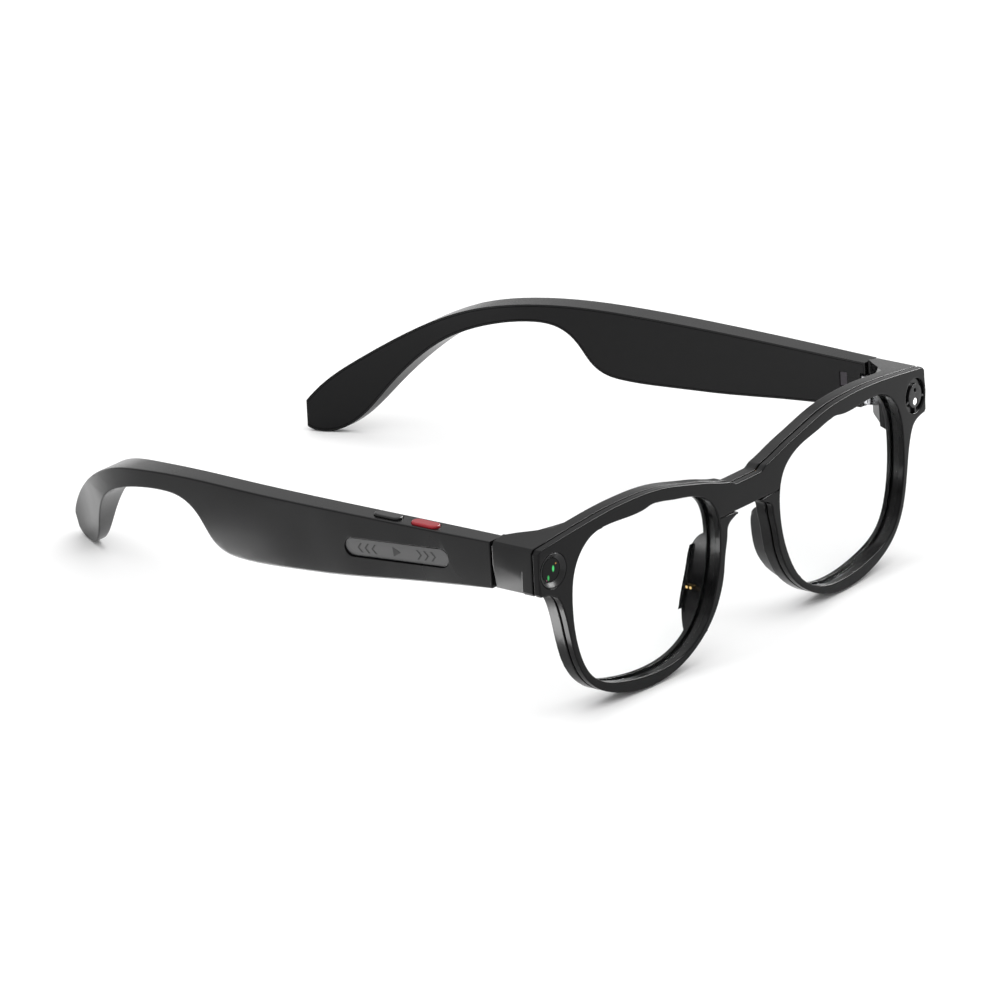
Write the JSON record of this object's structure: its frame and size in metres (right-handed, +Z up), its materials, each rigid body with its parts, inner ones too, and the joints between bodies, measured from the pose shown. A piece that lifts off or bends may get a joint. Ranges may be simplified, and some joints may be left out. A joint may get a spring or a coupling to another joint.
{
  "type": "smart glasses",
  "caption": "Full-rim camera glasses standing open, with clear lenses, folding electronics temples, a touch strip, sprung top buttons and a lit indicator.",
  "frame": {"origin": "centre of the box round the open glasses, on the plane the rims and the temple tips stand on", "axes": "+Z up, -Y the way the wearer looks, +X to the wearer's left"},
  "size_m": [0.1494, 0.166, 0.0463],
  "materials": {
    "bezel_black": "polished black acetate",
    "frame_black": "polished black",
    "temple_black": "satin black",
    "cover_black": "fine satin black",
    "clear_lens": "clear, coated",
    "camera_glass": "dark coated glass",
    "dark_trim": "dark polished",
    "light_guide": "milky diffuser",
    "steel": "satin",
    "gold": "gold plated",
    "pad_black": "matte",
    "red": "gloss red",
    "button_black": "gloss black",
    "board": "solder mask",
    "flex": "polyimide",
    "pouch": "foil pouch",
    "can": "plated shield",
    "speaker": "matte black",
    "mesh": "black mesh",
    "sensor": "black gloss"
  },
  "bodies": {
    "front": {"front_bezel": "bezel_black", "rear_frame": "frame_black", "left_lens": "clear_lens", "right_lens": "clear_lens", "front_flex_cable": "flex", "charging_contacts": "gold", "camera_ring": "dark_trim", "camera_cover_glass": "camera_glass", "camera_lens_barrel": "sensor", "camera_lens_element": "camera_glass", "camera_sensor_housing": "can", "camera_board": "board", "indicator_surround": "dark_trim", "indicator_disc": "dark_trim", "indicator_light_guide": "light_guide", "indicator_emitter": "light_guide", "front_microphone": "can", "indicator_board": "board", "left_hinge_front_leaf": "steel", "right_hinge_front_leaf": "steel", "hinge_screws": "steel"},
    "right_temple": {"right_temple_shell": "temple_black", "right_temple_inner_cover": "cover_black", "right_hinge_temple_leaf": "steel", "right_speaker": "speaker", "right_speaker_grille": "mesh", "right_battery": "pouch", "touch_pad": "pad_black", "touch_sensor_film": "flex", "button_switches": "sensor", "button_board": "flex", "main_board": "board", "processor_shield": "can", "wireless_module": "can"},
    "left_temple": {"left_temple_shell": "temple_black", "left_temple_inner_cover": "cover_black", "left_hinge_temple_leaf": "steel", "left_speaker": "speaker", "left_speaker_grille": "mesh", "left_battery": "pouch", "left_board": "board", "wear_sensor_window": "sensor", "wear_sensor": "sensor"},
    "forward_button": {"red_button": "red"},
    "rear_button": {"black_button": "button_black"}
  },
  "joints": [
    {"name": "right_temple_hinge", "type": "hinge", "parent": "front", "child": "right_temple", "pos_m": [-0.0689, -0.06445, 0.03577], "axis": [0, -0.0523, -0.9986], "range_deg": [0, 85]},
    {"name": "left_temple_hinge", "type": "hinge", "parent": "front", "child": "left_temple", "pos_m": [0.0689, -0.06445, 0.03577], "axis": [0, 0.0523, 0.9986], "range_deg": [0, 65]},
    {"name": "red_button_press", "type": "slide", "parent": "right_temple", "child": "forward_button", "axis": [0, -0.0523, -0.9986], "range_m": [0, 0.0003], "stiffness_N_per_m": 600, "springref_m": -0.0002},
    {"name": "black_button_press", "type": "slide", "parent": "right_temple", "child": "rear_button", "axis": [0, -0.0523, -0.9986], "range_m": [0, 0.0003], "stiffness_N_per_m": 600, "springref_m": -0.0002}
  ]
}
